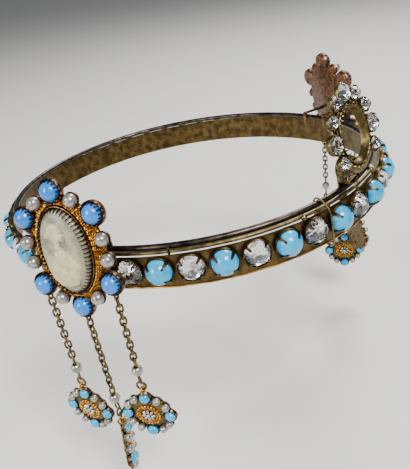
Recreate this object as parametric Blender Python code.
"""A costume circlet with cameo side medallions, hanging chains and a front ornament.

The head would go up through the oval band. +Z is up, the front faces -Y and the
wearer's right side is at -X. The origin is the middle of the oval that the band's
stones stand on. Everything is worked out in metres from the sizes below.
"""
import math

import bmesh
import bpy
from mathutils import Matrix, Vector

MM = 0.001
GAP = 0.3 * MM

# The oval through the middles of the band's stones, and how it sits on a head
BAND_HALF_LENGTH = 94.5 * MM
BAND_HALF_WIDTH = 83.5 * MM
BAND_SQUARENESS = 2.05
BAND_TILT = math.radians(5.3)
STONE_COUNT = 48
FRONT_REACH = 8
OVAL_STEPS = 2880

# The strip, measured outward from that oval and up from its plane
STRIP_OUTSIDE = -2.2 * MM
STRIP_INSIDE = -3.0 * MM
STRIP_LOW = -7.3 * MM
STRIP_HIGH = 5.3 * MM

# The round stones of the band and their collets
STONE_RADIUS = 4.9 * MM
STONE_SIDES = 10
STONE_GIRDLE = -0.9 * MM
STONE_BACK = -1.7 * MM
CABOCHON_TOP = 3.7 * MM
CRYSTAL_TABLE = 1.9 * MM
COLLET_RADIUS = 5.5 * MM
COLLET_RIM = -0.5 * MM
POCKET_FLOOR = STONE_BACK - GAP

# The two round rails above the strip
UPPER_RAIL_RADIUS = 1.2 * MM
UPPER_RAIL_OUT = -5.2 * MM
UPPER_RAIL_UP = 7.4 * MM
WIRE_RAIL_RADIUS = 0.75 * MM
WIRE_RAIL_OUT = -3.1 * MM
WIRE_RAIL_UP = 6.45 * MM
WIRE_RAIL_START = -8.9
WIRE_RAIL_END = 1.7
KNOB_RADIUS = 1.35 * MM

# The wire strap that ties the rails to the band between two stones
STRAP_PLACE = -1.5
STRAP_RADIUS = 0.35 * MM
STRAP_OUTLINE = (
    (0.6, -5.0), (0.6, 3.0), (0.0, 6.0), (-1.2, 7.4), (-3.2, 8.9), (-5.4, 9.35), (-7.1, 8.3),
    (-7.1, 6.0), (-4.1, 2.0), (-3.8, -6.0), (-3.3, -8.0), (-1.5, -8.4), (0.1, -7.4),
)

# The side medallions: where the middle stands on the band, and how it is turned
MEDALLION_PLACE = -9.4
MEDALLION_OUT = 7.0 * MM
MEDALLION_UP = 13.1 * MM
MEDALLION_YAW = math.radians(6.4)
MEDALLION_LEAN = math.radians(7.4)
MEDALLION_ROLL = math.radians(1.9)
CUP_TOP = 21.4 * MM
CUP_SIDE = 14.6 * MM
CUP_SIDE_UP = 12.7 * MM
PEARL_DIAGONAL = (7.8 * MM, 17.9 * MM)
PEARL_WAIST = (16.1 * MM, 3.8 * MM)
CUP_RADIUS = 4.6 * MM
CUP_RIM = 0.2 * MM
TURQUOISE_RADIUS = 3.65 * MM
TURQUOISE_TOP = 2.7 * MM
PEARL_CUP_RADIUS = 2.8 * MM
PEARL_TOP = 2.5 * MM
PLATE_HALF = (15.0 * MM, 20.0 * MM)
PLATE_BACK = -3.2 * MM
PLATE_FRONT = -2.2 * MM
BEZEL_HALF = (10.8 * MM, 16.4 * MM)
BEZEL_WALL = 0.75 * MM
BEZEL_RIM = 1.3 * MM
FILIGREE_HALF = (13.2 * MM, 18.7 * MM)
FILIGREE_TOP = -0.9 * MM
OVAL_SIDES = 20
HOOK_SPREAD = 8.0 * MM
HOOK_UP = 9.7 * MM
HOOK_WIDTH = 2.0 * MM
HOOK_THICKNESS = 0.9 * MM
HOOK_BACK = -7.1 * MM
HOOK_TIP = 4.5 * MM
LUG_SIZE = 1.8 * MM

# The cameo
CAMEO_BACK = -1.1 * MM
CAMEO_EDGE = 0.5 * MM
CAMEO_TOP = 2.6 * MM

# The chains and pendants: cup, length, turn of the pendant's face
CHAIN_RADIUS = 1.2 * MM
CHAIN_STEP = 6.0 * MM
CHAIN_PEARL_RADIUS = 2.2 * MM
CHAIN_TOP_GAP = 0.45 * MM
LUG_DEPTH = -1.4 * MM
RING_RADIUS = 1.9 * MM
RING_WIRE = 0.45 * MM
BAIL_RADIUS = 1.7 * MM
BAIL_DROP = BAIL_RADIUS - 2 * RING_WIRE - GAP
CHAINS = (
    {"name": "back", "cup": (-CUP_SIDE, -CUP_SIDE_UP), "length": 44.1 * MM, "pearl": 9.6 * MM, "turn": -72.0},
    {"name": "middle", "cup": (0.0, -CUP_TOP), "length": 52.9 * MM, "pearl": 13.3 * MM, "turn": 55.0},
    {"name": "front", "cup": (CUP_SIDE, -CUP_SIDE_UP), "length": 43.2 * MM, "pearl": 9.9 * MM, "turn": -60.0},
)
PENDANT_DISC_RADIUS = 10.2 * MM
PENDANT_ORBIT = 9.0 * MM
PENDANT_TURQUOISE = 2.6 * MM
PENDANT_BACK = -1.2 * MM
PENDANT_DROP = PENDANT_ORBIT + PENDANT_TURQUOISE + BAIL_DROP + BAIL_RADIUS - 0.2 * MM
BAIL_FORWARD = 0.35 * MM

# The front ornament, placed outward and up from the front of the band
ORNAMENT_OUT = 0.4 * MM
ORNAMENT_UP = 27.7 * MM
ORNAMENT_LEAN = math.radians(11.2)
ORNAMENT_HOLE = (7.6 * MM, 9.7 * MM)
ORNAMENT_WALL = 1.1 * MM
ORNAMENT_RIM = 0.8 * MM
ORNAMENT_DEPTH = -3.2 * MM
ORNAMENT_ORBIT = (12.0 * MM, 14.6 * MM)
ORNAMENT_FLANGE = (11.3 * MM, 13.9 * MM)
FLANGE_BACK = -2.0 * MM
FLANGE_FRONT = -1.2 * MM
LARGE_CRYSTAL = 3.3 * MM
SMALL_CRYSTAL = 2.4 * MM
ORNAMENT_STONES = (
    (90.0, LARGE_CRYSTAL), (60.0, SMALL_CRYSTAL), (30.0, SMALL_CRYSTAL), (0.0, LARGE_CRYSTAL),
    (-30.0, SMALL_CRYSTAL), (120.0, SMALL_CRYSTAL), (150.0, SMALL_CRYSTAL),
    (180.0, LARGE_CRYSTAL), (210.0, SMALL_CRYSTAL),
)
BASE_STONE_RADIUS = 4.5 * MM
BASE_COLLET_RADIUS = 5.3 * MM
BASE_STONE_OUT = -3.8 * MM
BASE_STONE_UP = 13.9 * MM
TIE_THICKNESS = 1.4 * MM


def clear_scene():
    for item in list(bpy.data.objects):
        bpy.data.objects.remove(item, do_unlink=True)


def finish(name, colour, metallic, roughness):
    material = bpy.data.materials.new(name)
    material.use_nodes = True
    surface = material.node_tree.nodes["Principled BSDF"]
    surface.inputs["Base Color"].default_value = (*colour, 1.0)
    surface.inputs["Metallic"].default_value = metallic
    surface.inputs["Roughness"].default_value = roughness
    return material


def solid(name, mesh_data, material, frame=None):
    """Turn a bmesh into an object that stands at a frame."""
    bmesh.ops.recalc_face_normals(mesh_data, faces=mesh_data.faces)
    mesh = bpy.data.meshes.new(name)
    mesh_data.to_mesh(mesh)
    mesh_data.free()
    mesh.materials.append(material)
    item = bpy.data.objects.new(name, mesh)
    bpy.context.scene.collection.objects.link(item)
    item.matrix_world = frame or Matrix.Identity(4)
    return item


def combine(target, tools, operation):
    """Fuse tools to a solid, or cut them out of it, one after another."""
    for tool in tools:
        step = target.modifiers.new(operation.lower(), "BOOLEAN")
        step.operation = operation
        step.solver = "EXACT"
        step.object = tool
        bpy.context.view_layer.update()
        bpy.context.view_layer.objects.active = target
        bpy.ops.object.modifier_apply(modifier=step.name)
        bpy.data.objects.remove(tool, do_unlink=True)
    return target


def smooth(item, angle=35.0):
    item.data.shade_smooth()
    item.data.set_sharp_from_angle(angle=math.radians(angle))
    return item


def turned(profile, sides, half=(1.0, 1.0), spin=0.0):
    """A closed solid turned about Z from (radius, height) points, bottom to top.

    A radius of 0 is a pole. half stretches the section into an oval.
    """
    mesh_data = bmesh.new()
    rings = []
    for radius, height in profile:
        if radius == 0.0:
            rings.append([mesh_data.verts.new((0.0, 0.0, height))])
            continue
        ring = []
        for side in range(sides):
            angle = spin + 2 * math.pi * side / sides
            spot = (radius * half[0] * math.cos(angle), radius * half[1] * math.sin(angle), height)
            ring.append(mesh_data.verts.new(spot))
        rings.append(ring)
    for lower, upper in zip(rings, rings[1:]):
        for side in range(sides):
            after = (side + 1) % sides
            if len(lower) == 1:
                corners = (lower[0], upper[after], upper[side])
            elif len(upper) == 1:
                corners = (lower[side], lower[after], upper[0])
            else:
                corners = (lower[side], lower[after], upper[after], upper[side])
            mesh_data.faces.new(corners)
    for ring in (rings[0], rings[-1]):
        if len(ring) > 1:
            mesh_data.faces.new(ring)
    return mesh_data


def wire(path, radii, sides, across, closed):
    """A round wire along a flat path. across is the direction square to the path's plane."""
    mesh_data = bmesh.new()
    count = len(path)
    rings = []
    for index, spot in enumerate(path):
        before = path[(index - 1) % count] if closed or index > 0 else spot
        after = path[(index + 1) % count] if closed or index < count - 1 else spot
        along = (after - before).normalized()
        outward = along.cross(across).normalized()
        radius = radii[index]
        ring = []
        for side in range(sides):
            angle = 2 * math.pi * side / sides
            offset = outward * math.cos(angle) + across * math.sin(angle)
            ring.append(mesh_data.verts.new(spot + offset * radius))
        rings.append(ring)
    pairs = list(zip(rings, rings[1:]))
    if closed:
        pairs.append((rings[-1], rings[0]))
    for first, second in pairs:
        for side in range(sides):
            after = (side + 1) % sides
            mesh_data.faces.new((first[side], first[after], second[after], second[side]))
    if not closed:
        mesh_data.faces.new(rings[0])
        mesh_data.faces.new(rings[-1])
    return mesh_data


def tube(name, spots, radii, material):
    """A tube of ten sides along a line of points, each with its own radius."""
    curve = bpy.data.curves.new(name, "CURVE")
    curve.dimensions = "3D"
    curve.bevel_depth = MM
    curve.bevel_resolution = 3
    curve.use_fill_caps = True
    spline = curve.splines.new("POLY")
    spline.points.add(len(spots) - 1)
    for point, spot, radius in zip(spline.points, spots, radii):
        point.co = (*spot, 1.0)
        point.radius = radius / MM
    guide = bpy.data.objects.new(name, curve)
    bpy.context.scene.collection.objects.link(guide)
    bpy.context.view_layer.update()
    mesh_data = bmesh.new()
    mesh_data.from_mesh(guide.to_mesh())
    guide.to_mesh_clear()
    bpy.data.objects.remove(guide, do_unlink=True)
    bmesh.ops.remove_doubles(mesh_data, verts=mesh_data.verts, dist=0.001 * MM)
    return solid(name, mesh_data, material)


def round_ring(radius, wire_radius, segments, sides, centre, first, second):
    """A closed wire ring in the plane of two unit directions."""
    path = []
    for index in range(segments):
        angle = 2 * math.pi * index / segments
        path.append(centre + first * radius * math.cos(angle) + second * radius * math.sin(angle))
    return wire(path, [wire_radius] * segments, sides, first.cross(second), True)


def bar(start, end, width, thickness, sideways):
    """A straight bar of rectangular section between two points."""
    along = (end - start).normalized()
    sideways = (sideways - along * sideways.dot(along)).normalized()
    upward = along.cross(sideways)
    mesh_data = bmesh.new()
    bmesh.ops.create_cube(mesh_data, size=1.0)
    length = (end - start).length
    frame = Matrix((along * length, sideways * width, upward * thickness)).transposed().to_4x4()
    frame.translation = (start + end) / 2
    bmesh.ops.transform(mesh_data, matrix=frame, verts=mesh_data.verts)
    return mesh_data


def signed_power(value, exponent):
    return math.copysign(abs(value) ** exponent, value)


def oval_spot(angle):
    """A point of the oval, a superellipse. Its angle runs from the front towards +X."""
    exponent = 2 / BAND_SQUARENESS
    x = BAND_HALF_WIDTH * signed_power(math.sin(angle), exponent)
    y = -BAND_HALF_LENGTH * signed_power(math.cos(angle), exponent)
    return Vector((x, y, 0))


def oval_table():
    """Arc lengths, from the front round towards +X, of fine steps along the oval."""
    lengths = [0.0]
    spots = [oval_spot(2 * math.pi * step / OVAL_STEPS) for step in range(OVAL_STEPS + 1)]
    for first, second in zip(spots, spots[1:]):
        lengths.append(lengths[-1] + (second - first).length)
    return lengths


OVAL_LENGTHS = oval_table()
PITCH = OVAL_LENGTHS[-1] / STONE_COUNT


def oval_angle(place):
    """The oval's angle at a place counted in stones from the front."""
    target = (place % STONE_COUNT) * PITCH
    low = 0
    high = OVAL_STEPS
    while high - low > 1:
        middle = (low + high) // 2
        if OVAL_LENGTHS[middle] <= target:
            low = middle
        else:
            high = middle
    span = OVAL_LENGTHS[high] - OVAL_LENGTHS[low]
    return 2 * math.pi * (low + (target - OVAL_LENGTHS[low]) / span) / OVAL_STEPS


TILT = Matrix.Rotation(-BAND_TILT, 4, "X")


def outward_at(place):
    angle = oval_angle(place)
    exponent = 2 - 2 / BAND_SQUARENESS
    x = signed_power(math.sin(angle), exponent) / BAND_HALF_WIDTH
    y = -signed_power(math.cos(angle), exponent) / BAND_HALF_LENGTH
    return Vector((x, y, 0)).normalized()


def band_point(place, out=0.0, up=0.0):
    """A point of the level band, before it is tilted."""
    return oval_spot(oval_angle(place)) + outward_at(place) * out + Vector((0, 0, up))


def frame_of(right, up, face, origin):
    frame = Matrix((right, up, face)).transposed().to_4x4()
    frame.translation = origin
    return frame


def band_frame(place, out=0.0, up=0.0, lean=0.0):
    """X along the band, Y up and Z outward, leaning back by an angle."""
    outward = outward_at(place)
    right = Vector((0, 0, 1)).cross(outward)
    face = (outward * math.cos(lean) + Vector((0, 0, 1)) * math.sin(lean)).normalized()
    return TILT @ frame_of(right, face.cross(right), face, band_point(place, out, up))


def is_turquoise(index):
    return index % 2 == 1


def cabochon(radius, back, girdle, top, sides):
    height = top - girdle
    profile = (
        (radius * 0.92, back), (radius, girdle), (radius * 0.72, girdle + height * 0.72), (0.0, top),
    )
    return turned(profile, sides)


def cut_stone(radius, back, girdle, table, sides):
    """A round cut stone: a flat back, a girdle, a ring of crown facets and a table."""
    profile = ((radius * 0.8, back), (radius, girdle), (radius * 0.52, table))
    return turned(profile, sides)


def strip(name, first, last, metal):
    """The flat strip between two places, one flat facet to a stone."""
    mesh_data = bmesh.new()
    corners = []
    for step in range(last - first + 2):
        place = first - 0.5 + step
        corners.append(place)
    rings = []
    for place in corners:
        # Facets meet where the tangent planes of neighbouring stones cross
        before = outward_at(place - 0.5)
        after = outward_at(place + 0.5)
        anchor_before = band_point(place - 0.5)
        anchor_after = band_point(place + 0.5)
        ring = []
        for out, up in (
            (STRIP_OUTSIDE, STRIP_LOW), (STRIP_OUTSIDE, STRIP_HIGH),
            (STRIP_INSIDE, STRIP_HIGH), (STRIP_INSIDE, STRIP_LOW),
        ):
            reach_before = anchor_before.dot(before) + out
            reach_after = anchor_after.dot(after) + out
            area = before.x * after.y - before.y * after.x
            x = (reach_before * after.y - reach_after * before.y) / area
            y = (before.x * reach_after - after.x * reach_before) / area
            ring.append(Vector((x, y, up)))
        rings.append(ring)
    # The two strips meet with a fine seam at each end
    for end, neighbour in ((0, 1), (-1, -2)):
        for corner in range(4):
            along = (rings[neighbour][corner] - rings[end][corner]).normalized()
            rings[end][corner] = rings[end][corner] + along * GAP / 2
    vert_rings = [[mesh_data.verts.new(spot) for spot in ring] for ring in rings]
    for first_ring, second_ring in zip(vert_rings, vert_rings[1:]):
        for corner in range(4):
            after = (corner + 1) % 4
            mesh_data.faces.new(
                (first_ring[corner], first_ring[after], second_ring[after], second_ring[corner])
            )
    mesh_data.faces.new(vert_rings[0])
    mesh_data.faces.new(vert_rings[-1])
    return solid(name, mesh_data, metal, TILT)


def band_front(metal, turquoise, crystal):
    """The front strip with open collets, and one stone in each."""
    band = strip("band_front", -FRONT_REACH, FRONT_REACH, metal)
    cups = []
    pockets = []
    for index in range(-FRONT_REACH, FRONT_REACH + 1):
        frame = band_frame(index)
        cup = turned(((COLLET_RADIUS - 0.2 * MM, STRIP_OUTSIDE - 0.4 * MM), (COLLET_RADIUS, COLLET_RIM)), STONE_SIDES)
        cups.append(solid("collet", cup, metal, frame))
        inner = STONE_RADIUS + GAP
        pocket = turned(((inner - 0.1 * MM, POCKET_FLOOR), (inner, COLLET_RIM + MM)), STONE_SIDES)
        pockets.append(solid("pocket", pocket, metal, frame))
        label = f"{index + FRONT_REACH + 1:02d}"
        if is_turquoise(index):
            shape = cabochon(STONE_RADIUS, STONE_BACK, STONE_GIRDLE, CABOCHON_TOP, STONE_SIDES)
            smooth(solid(f"turquoise_{label}", shape, turquoise, frame), 60)
        else:
            shape = cut_stone(STONE_RADIUS, STONE_BACK, STONE_GIRDLE, CRYSTAL_TABLE, STONE_SIDES)
            solid(f"rhinestone_{label}", shape, crystal, frame)
    combine(band, cups, "UNION")
    combine(band, pockets, "DIFFERENCE")


def band_back(metal):
    """The rest of the strip, its stones fused to their collets."""
    first = FRONT_REACH + 1
    last = STONE_COUNT - FRONT_REACH - 1
    band = strip("band_back", first, last, metal)
    stones = []
    for index in range(first, last + 1):
        low = STRIP_OUTSIDE - 0.4 * MM
        if is_turquoise(index):
            profile = (
                (COLLET_RADIUS - 0.2 * MM, low), (COLLET_RADIUS - 0.1 * MM, COLLET_RIM),
                (STONE_RADIUS * 0.74, 2.3 * MM), (0.0, CABOCHON_TOP),
            )
        else:
            profile = (
                (COLLET_RADIUS - 0.2 * MM, low), (COLLET_RADIUS - 0.1 * MM, COLLET_RIM),
                (STONE_RADIUS * 0.52, CRYSTAL_TABLE),
            )
        stones.append(solid("stone", turned(profile, STONE_SIDES), metal, band_frame(index)))
    combine(band, stones, "UNION")


def rails(steel, wire_metal):
    """The dark round hoop all the way round, and the brass wire along the front."""
    level = Vector((0, 0, 1))
    segments = STONE_COUNT
    hoop = []
    for step in range(segments):
        hoop.append(band_point(STONE_COUNT * step / segments, UPPER_RAIL_OUT, UPPER_RAIL_UP))
    shape = wire(hoop, [UPPER_RAIL_RADIUS] * segments, 6, level, True)
    smooth(solid("upper_rail", shape, steel, TILT), 80)
    steps = 16
    path = []
    for step in range(steps + 1):
        place = WIRE_RAIL_START + (WIRE_RAIL_END - WIRE_RAIL_START) * step / steps
        path.append(band_point(place, WIRE_RAIL_OUT, WIRE_RAIL_UP))
    radii = [WIRE_RAIL_RADIUS] * len(path)
    # A small round knob closes the front end
    end = path[-1]
    ahead = (path[-1] - path[-2]).normalized()
    for along, share in ((0.35, 0.8), (1.0, 1.0), (1.9, 0.85), (2.4, 0.4)):
        path.append(end + ahead * along * MM)
        radii.append(KNOB_RADIUS * share)
    shape = wire(path, radii, 6, level, False)
    smooth(solid("wire_rail", shape, wire_metal, TILT), 80)


def wire_strap(metal):
    outward = outward_at(STRAP_PLACE)
    middle = band_point(STRAP_PLACE)
    path = [middle + outward * out * MM + Vector((0, 0, up * MM)) for out, up in STRAP_OUTLINE]
    across = outward.cross(Vector((0, 0, 1)))
    solid("wire_strap", wire(path, [STRAP_RADIUS] * len(path), 5, across, True), metal, TILT)


def medallion_frame(side):
    """The medallion's own frame: X to the viewer's right, Y up, Z out. side is -1 or 1."""
    outward = outward_at(MEDALLION_PLACE)
    heading = math.atan2(outward.x, -outward.y) + MEDALLION_YAW
    flat = math.cos(MEDALLION_LEAN)
    face = Vector((math.sin(heading) * flat, -math.cos(heading) * flat, math.sin(MEDALLION_LEAN)))
    right = Vector((0, 0, 1)).cross(face).normalized()
    up = face.cross(right)
    up = up * math.cos(MEDALLION_ROLL) - right * math.sin(MEDALLION_ROLL)
    origin = band_point(MEDALLION_PLACE, MEDALLION_OUT, MEDALLION_UP)
    if side > 0:
        face.x = -face.x
        up.x = -up.x
        origin.x = -origin.x
    return TILT @ frame_of(up.cross(face), up, face, origin)


def cup_places():
    return (
        (0.0, CUP_TOP), (CUP_SIDE, CUP_SIDE_UP), (CUP_SIDE, -CUP_SIDE_UP),
        (0.0, -CUP_TOP), (-CUP_SIDE, -CUP_SIDE_UP), (-CUP_SIDE, CUP_SIDE_UP),
    )


def pearl_places():
    places = []
    for x, y in (PEARL_DIAGONAL, PEARL_WAIST):
        places += [(x, y), (x, -y), (-x, -y), (-x, y)]
    return places


def shifted(frame, x, y, z=0.0):
    return frame @ Matrix.Translation((x, y, z))


def medallion(side, label, gilt, turquoise, shell):
    frame = medallion_frame(side)
    low = PLATE_BACK
    plate = turned(((1.0, low), (1.0, PLATE_FRONT)), OVAL_SIDES, PLATE_HALF)
    body = solid(f"medallion_frame_{label}", plate, gilt, frame)
    bezel = turned(((1.0, low + 0.4 * MM), (1.0, BEZEL_RIM)), OVAL_SIDES, BEZEL_HALF)
    fused = [solid("bezel", bezel, gilt, frame)]
    profile = ((1.0, low + 0.2 * MM), (1.0, PLATE_FRONT + 0.3 * MM), (0.93, FILIGREE_TOP))
    fused.append(solid("filigree", turned(profile, OVAL_SIDES, FILIGREE_HALF), gilt, frame))
    pockets = []
    for number, (x, y) in enumerate(cup_places()):
        place = shifted(frame, x, y)
        cup = turned(((CUP_RADIUS - 0.6 * MM, low + 0.3 * MM), (CUP_RADIUS, CUP_RIM)), STONE_SIDES)
        fused.append(solid("cup", cup, gilt, place))
        inner = TURQUOISE_RADIUS + GAP
        pocket = turned(((inner - 0.1 * MM, -1.8 * MM), (inner, CUP_RIM + MM)), STONE_SIDES)
        pockets.append(solid("pocket", pocket, gilt, place))
        stone = cabochon(TURQUOISE_RADIUS, -1.5 * MM, -0.6 * MM, TURQUOISE_TOP, STONE_SIDES)
        smooth(solid(f"medallion_turquoise_{label}_{number + 1}", stone, turquoise, place), 60)
    for x, y in pearl_places():
        profile = (
            (PEARL_CUP_RADIUS - 0.4 * MM, low + 0.2 * MM), (PEARL_CUP_RADIUS, 0.0),
            (0.0, PEARL_TOP),
        )
        fused.append(solid("pearl", turned(profile, STONE_SIDES), gilt, shifted(frame, x, y)))
    for chain in CHAINS:
        x, y = chain["cup"]
        start = Vector((x, y - CUP_RADIUS + 0.5 * MM, LUG_DEPTH))
        end = Vector((x, y - CUP_RADIUS - LUG_SIZE, LUG_DEPTH))
        fused.append(solid("lug", bar(start, end, LUG_SIZE, 1.2 * MM, Vector((1, 0, 0))), gilt, frame))
    fused += hooks(frame, gilt)
    inner_half = [reach - BEZEL_WALL for reach in BEZEL_HALF]
    seat = turned(((1.0, CAMEO_BACK - GAP), (1.0, BEZEL_RIM + MM)), OVAL_SIDES, inner_half)
    pockets.append(solid("seat", seat, gilt, frame))
    combine(body, fused, "UNION")
    combine(body, pockets, "DIFFERENCE")
    cameo(side, label, frame, shell)


def hooks(frame, gilt):
    """Two arms from the plate's back, over the upper rail and down behind it."""
    pieces = []
    for spread in (-HOOK_SPREAD, HOOK_SPREAD):
        rise = (HOOK_UP - MEDALLION_UP) / math.cos(MEDALLION_LEAN)
        start = frame @ Vector((spread, rise, (PLATE_BACK + PLATE_FRONT) / 2))
        place = nearest_place(TILT.inverted() @ start)
        corner = TILT @ band_point(place, HOOK_BACK, HOOK_UP)
        tip = TILT @ band_point(place, HOOK_BACK, HOOK_TIP)
        tangent = TILT.to_3x3() @ Vector((0, 0, 1)).cross(outward_at(place))
        reach = (corner - start).normalized() * HOOK_THICKNESS / 2
        arm = bar(start, corner + reach, HOOK_WIDTH, HOOK_THICKNESS, tangent)
        drop = bar(corner, tip, HOOK_WIDTH, HOOK_THICKNESS, tangent)
        pieces.append(solid("arm", arm, gilt))
        pieces.append(solid("drop", drop, gilt))
    return pieces


def nearest_place(spot):
    """The place on the band, in stones from the front, that a level point stands out from."""
    best = 0.0
    nearest = None
    for step in range(STONE_COUNT * 10):
        place = step / 10 - STONE_COUNT / 2
        distance = (band_point(place) - Vector((spot.x, spot.y, 0))).length
        if nearest is None or distance < nearest:
            nearest = distance
            best = place
    return best


def cameo(side, label, frame, shell):
    """An oval of shell with a woman's bust in low relief, turned towards the front."""
    half = [reach - BEZEL_WALL - GAP for reach in BEZEL_HALF]
    profile = ((1.0, CAMEO_BACK), (1.0, CAMEO_EDGE), (0.72, CAMEO_TOP * 0.8), (0.0, CAMEO_TOP))
    body = solid(f"cameo_{label}", turned(profile, OVAL_SIDES, half), shell, frame)
    forward = -1.0 if side < 0 else 1.0
    relief = (
        # middle x, middle y, half width, half height, top
        (0.0, 5.6, 4.0, 4.6, 3.9),
        (0.3, -6.2, 5.6, 5.6, 3.7),
    )
    blobs = []
    for x, y, wide, tall, top in relief:
        profile = ((1.0, 0.6 * MM), (0.7, (top - 0.35) * MM), (0.0, top * MM))
        shape = turned(profile, STONE_SIDES, (wide * MM, tall * MM))
        spot = shifted(frame, -forward * x * MM, y * MM)
        blobs.append(solid("relief", shape, shell, spot))
    combine(body, blobs, "UNION")
    smooth(body, 60)


def pendant_frame(hang, turn):
    """The pendant's own frame below its hanging point: X sideways, Y up, Z out of its face."""
    heading = math.radians(turn)
    face = Vector((math.sin(heading), -math.cos(heading), 0))
    up = Vector((0, 0, 1))
    return frame_of(up.cross(face), up, face, hang)


def chain_and_pendant(side, label, chain, brass, gilt):
    frame = medallion_frame(side)
    x, y = chain["cup"]
    lug = frame @ Vector((-side * x, y - CUP_RADIUS - LUG_SIZE, LUG_DEPTH))
    length = chain["length"]
    end = lug - Vector((0, 0, CHAIN_TOP_GAP + length))
    hang = pendant_frame(end, -side * chain["turn"])
    sideways = hang.to_3x3() @ Vector((1, 0, 0))
    forward = hang.to_3x3() @ Vector((0, 0, 1))
    up = Vector((0, 0, 1))
    # The chain's outer shape hangs plumb, with its pearl, down to its last ring
    first = 2 * RING_RADIUS - 0.2 * MM
    heights = {first: CHAIN_RADIUS, length: CHAIN_RADIUS}
    for share, width in ((-0.95, 0.55), (-0.6, 0.8), (0.0, 1.0), (0.6, 0.8), (0.95, 0.55)):
        heights[chain["pearl"] + share * CHAIN_PEARL_RADIUS] = width * CHAIN_PEARL_RADIUS
    count = math.ceil((length - chain["pearl"]) / CHAIN_STEP)
    for step in range(1, count):
        heights[chain["pearl"] + step * (length - chain["pearl"]) / count] = CHAIN_RADIUS
    spots = [end + up * height for height in sorted(heights)]
    radii = [heights[height] for height in sorted(heights)]
    item = tube(f"chain_{label}_{chain['name']}", spots, radii, brass)
    ring = round_ring(RING_RADIUS, RING_WIRE, 10, 5, end + up * RING_RADIUS, -up, sideways)
    combine(item, [solid("ring", ring, brass)], "UNION")
    smooth(item, 50)
    pendant(f"pendant_{label}_{chain['name']}", end, hang, forward, up, gilt)


def pendant(name, end, hang, forward, up, gilt):
    """A round pendant: a stamped disc that rises to a rosette, four stones and a bail."""
    face = hang @ Matrix.Translation((0, -PENDANT_DROP, -BAIL_FORWARD))
    profile = (
        (PENDANT_DISC_RADIUS, PENDANT_BACK), (PENDANT_DISC_RADIUS, 0.0), (5.8 * MM, 0.9 * MM),
        (0.0, 2.4 * MM),
    )
    body = solid(name, turned(profile, 12), gilt, face)
    fused = []
    for quarter in range(4):
        angle = math.radians(90 * quarter)
        spot = (PENDANT_ORBIT * math.cos(angle), PENDANT_ORBIT * math.sin(angle))
        stone = (
            (PENDANT_TURQUOISE - 0.3 * MM, PENDANT_BACK + 0.2 * MM), (PENDANT_TURQUOISE, 0.9 * MM),
            (0.0, 2.8 * MM),
        )
        fused.append(solid("stone", turned(stone, STONE_SIDES), gilt, shifted(face, *spot)))
    centre = end - up * BAIL_DROP
    bail = round_ring(BAIL_RADIUS, RING_WIRE, 10, 5, centre, up, forward)
    fused.append(solid("bail", bail, gilt))
    combine(body, fused, "UNION")
    smooth(body, 40)
    # The pendant's own origin is on the ring's wire, which it swings about
    body.data.transform(hang.inverted() @ face)
    body.matrix_world = hang


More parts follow.
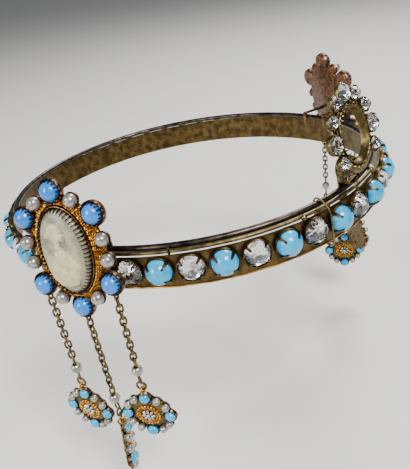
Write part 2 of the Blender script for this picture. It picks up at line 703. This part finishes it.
def ornament(gilt, gold_crystal):
    """The oval frame that stands over the middle of the front, its centre stone lost."""
    frame = band_frame(0, ORNAMENT_OUT, ORNAMENT_UP, ORNAMENT_LEAN)
    outer_half = [reach + ORNAMENT_WALL for reach in ORNAMENT_HOLE]
    half_step = math.pi / OVAL_SIDES
    wall = turned(((1.0, ORNAMENT_DEPTH), (1.0, ORNAMENT_RIM)), OVAL_SIDES, outer_half, half_step)
    body = solid("front_ornament", wall, gilt, frame)
    flange = turned(((1.0, FLANGE_BACK), (1.0, FLANGE_FRONT)), OVAL_SIDES, ORNAMENT_FLANGE)
    fused = [solid("flange", flange, gilt, frame)]
    for degrees, radius in ORNAMENT_STONES:
        angle = math.radians(degrees)
        x = ORNAMENT_ORBIT[0] * math.cos(angle)
        y = ORNAMENT_ORBIT[1] * math.sin(angle)
        rim = radius + 0.3 * MM
        profile = (
            (rim - 0.3 * MM, -2.2 * MM), (rim, 0.0), (radius * 0.55, 1.6 * MM),
        )
        fused.append(solid("stone", turned(profile, STONE_SIDES), gilt, shifted(frame, x, y)))
    base_frame = band_frame(0, BASE_STONE_OUT, BASE_STONE_UP, ORNAMENT_LEAN)
    collet = turned(((BASE_COLLET_RADIUS - 0.2 * MM, -2.4 * MM), (BASE_COLLET_RADIUS, 0.9 * MM)), STONE_SIDES)
    fused.append(solid("collet", collet, gilt, base_frame))
    across = Vector((1, 0, 0))
    # Two short ties join the base stone's collet to the ornament's flange
    for hand in (-1, 1):
        tie_start = base_frame @ Vector((hand * 5.6 * MM, MM, -0.8 * MM))
        tie_end = frame @ Vector((hand * 6.0 * MM, -10.0 * MM, FLANGE_BACK + 0.3 * MM))
        tie = bar(tie_start, tie_end, TIE_THICKNESS, TIE_THICKNESS, across)
        fused.append(solid("tie", tie, gilt))
    # A back strap holds the ornament behind the upper rail
    strap_out = UPPER_RAIL_OUT - UPPER_RAIL_RADIUS - GAP - 0.4 * MM
    low = TILT @ band_point(0, strap_out, 2.0 * MM)
    high = TILT @ band_point(0, strap_out, 13.0 * MM)
    fused.append(solid("strap", bar(low, high, 5.0 * MM, 0.8 * MM, across), gilt))
    seat = base_frame @ Vector((0, 0, -1.9 * MM))
    fused.append(solid("bridge", bar(high, seat, 4.4 * MM, 2.0 * MM, across), gilt))
    combine(body, fused, "UNION")
    inner = BASE_STONE_RADIUS + GAP
    pocket = solid("pocket", turned(((inner, -1.2 * MM), (inner, 3.0 * MM)), STONE_SIDES), gilt, base_frame)
    hole = turned(((1.0, ORNAMENT_DEPTH - MM), (1.0, ORNAMENT_RIM + MM)), OVAL_SIDES, ORNAMENT_HOLE)
    combine(body, [pocket, solid("hole", hole, gilt, frame)], "DIFFERENCE")
    stone = cut_stone(BASE_STONE_RADIUS, -0.9 * MM, -0.1 * MM, 2.6 * MM, STONE_SIDES)
    solid("base_rhinestone", stone, gold_crystal, base_frame)


def build():
    clear_scene()
    brass = finish("patinated_brass", (0.16, 0.11, 0.05), 1.0, 0.42)
    steel = finish("dark_bronze", (0.06, 0.05, 0.045), 1.0, 0.35)
    gilt = finish("gilt_brass", (0.62, 0.38, 0.12), 1.0, 0.35)
    turquoise = finish("turquoise_glass", (0.11, 0.55, 0.78), 0.0, 0.15)
    crystal = finish("clear_rhinestone", (0.82, 0.84, 0.86), 0.0, 0.05)
    gold_crystal = finish("gold_foiled_rhinestone", (0.75, 0.6, 0.3), 0.0, 0.08)
    shell = finish("shell", (0.78, 0.76, 0.66), 0.0, 0.3)
    band_front(brass, turquoise, crystal)
    band_back(brass)
    rails(steel, brass)
    wire_strap(brass)
    ornament(brass, gold_crystal)
    for side, label in ((-1, "right"), (1, "left")):
        medallion(side, label, gilt, turquoise, shell)
        for chain in CHAINS:
            chain_and_pendant(side, label, chain, brass, gilt)


build()
